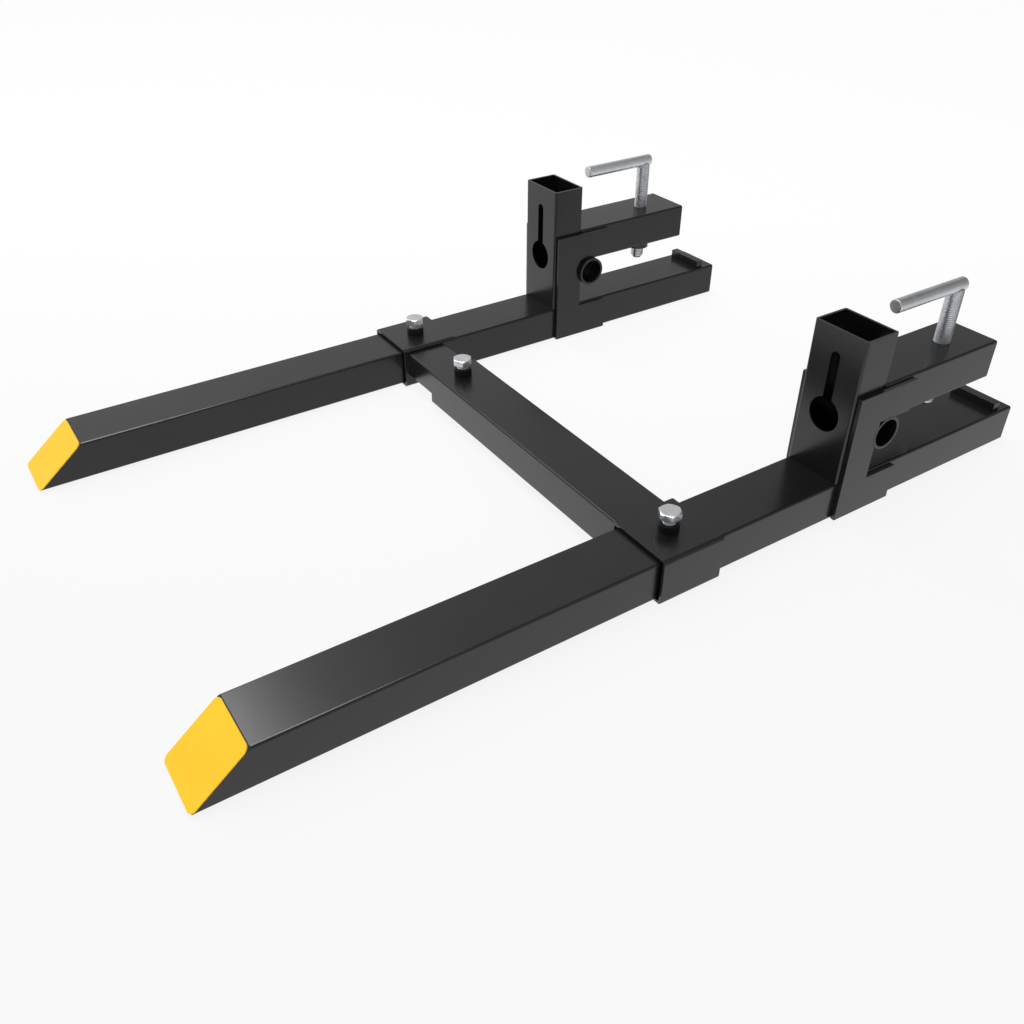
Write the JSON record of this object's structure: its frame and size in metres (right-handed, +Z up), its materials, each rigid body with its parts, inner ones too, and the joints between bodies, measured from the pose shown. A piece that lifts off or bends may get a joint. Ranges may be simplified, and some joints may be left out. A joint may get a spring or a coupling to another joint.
{
  "type": "clamp-on pallet fork set",
  "caption": "Clamp-on pallet forks: rectangular-tube forks with bevelled tips and screw clamps, held apart by a telescoping stabiliser bar on sliding sleeves.",
  "frame": {"origin": "Centre of the bounding box in X and Y, at the height of the sleeves' underside, the lowest face.", "axes": "+Y from the fork tips to the clamps, +X from the left fork to the right fork, +Z up."},
  "size_m": [0.67, 1.1218, 0.253],
  "materials": {
    "black_coat": "satin black coating on steel",
    "yellow_cap": "gloss yellow coating on a steel end plate",
    "zinc": "bright zinc plating"
  },
  "bodies": {
    "right_fork": {"right_fork_tube": "black_coat", "right_tip_cap": "yellow_cap", "right_upright": "black_coat", "right_upper_jaw": "black_coat", "right_outer_plate": "black_coat", "right_inner_plate": "black_coat", "right_cross_pipe": "black_coat", "right_jaw_lip": "black_coat", "right_screw_nut": "black_coat"},
    "right_screw": {"right_clamp_screw": "zinc", "right_screw_handle": "zinc"},
    "outer_stabiliser": {"right_sleeve": "black_coat", "right_sleeve_nut": "black_coat", "right_sleeve_bolt": "zinc", "outer_bar": "black_coat", "bar_nut": "black_coat", "bar_bolt": "zinc"},
    "inner_stabiliser": {"inner_bar": "black_coat", "left_sleeve": "black_coat", "left_sleeve_nut": "black_coat", "left_sleeve_bolt": "zinc"},
    "left_fork": {"left_fork_tube": "black_coat", "left_tip_cap": "yellow_cap", "left_upright": "black_coat", "left_upper_jaw": "black_coat", "left_outer_plate": "black_coat", "left_inner_plate": "black_coat", "left_cross_pipe": "black_coat", "left_jaw_lip": "black_coat", "left_screw_nut": "black_coat"},
    "left_screw": {"left_clamp_screw": "zinc", "left_screw_handle": "zinc"}
  },
  "joints": [
    {"name": "right_screw_travel", "type": "slide", "parent": "right_fork", "child": "right_screw", "axis": [0, 0, 1], "range_m": [-0.0335, 0.018]},
    {"name": "right_sleeve_slide", "type": "slide", "parent": "right_fork", "child": "outer_stabiliser", "axis": [0, 1, 0], "range_m": [-0.43, 0.18]},
    {"name": "stabiliser_telescope", "type": "slide", "parent": "outer_stabiliser", "child": "inner_stabiliser", "axis": [1, 0, 0], "range_m": [-0.15, 0.075]},
    {"name": "left_sleeve_slide", "type": "slide", "parent": "inner_stabiliser", "child": "left_fork", "axis": [0, 1, 0], "range_m": [-0.18, 0.43]},
    {"name": "left_screw_travel", "type": "slide", "parent": "left_fork", "child": "left_screw", "axis": [0, 0, 1], "range_m": [-0.0335, 0.018]}
  ]
}
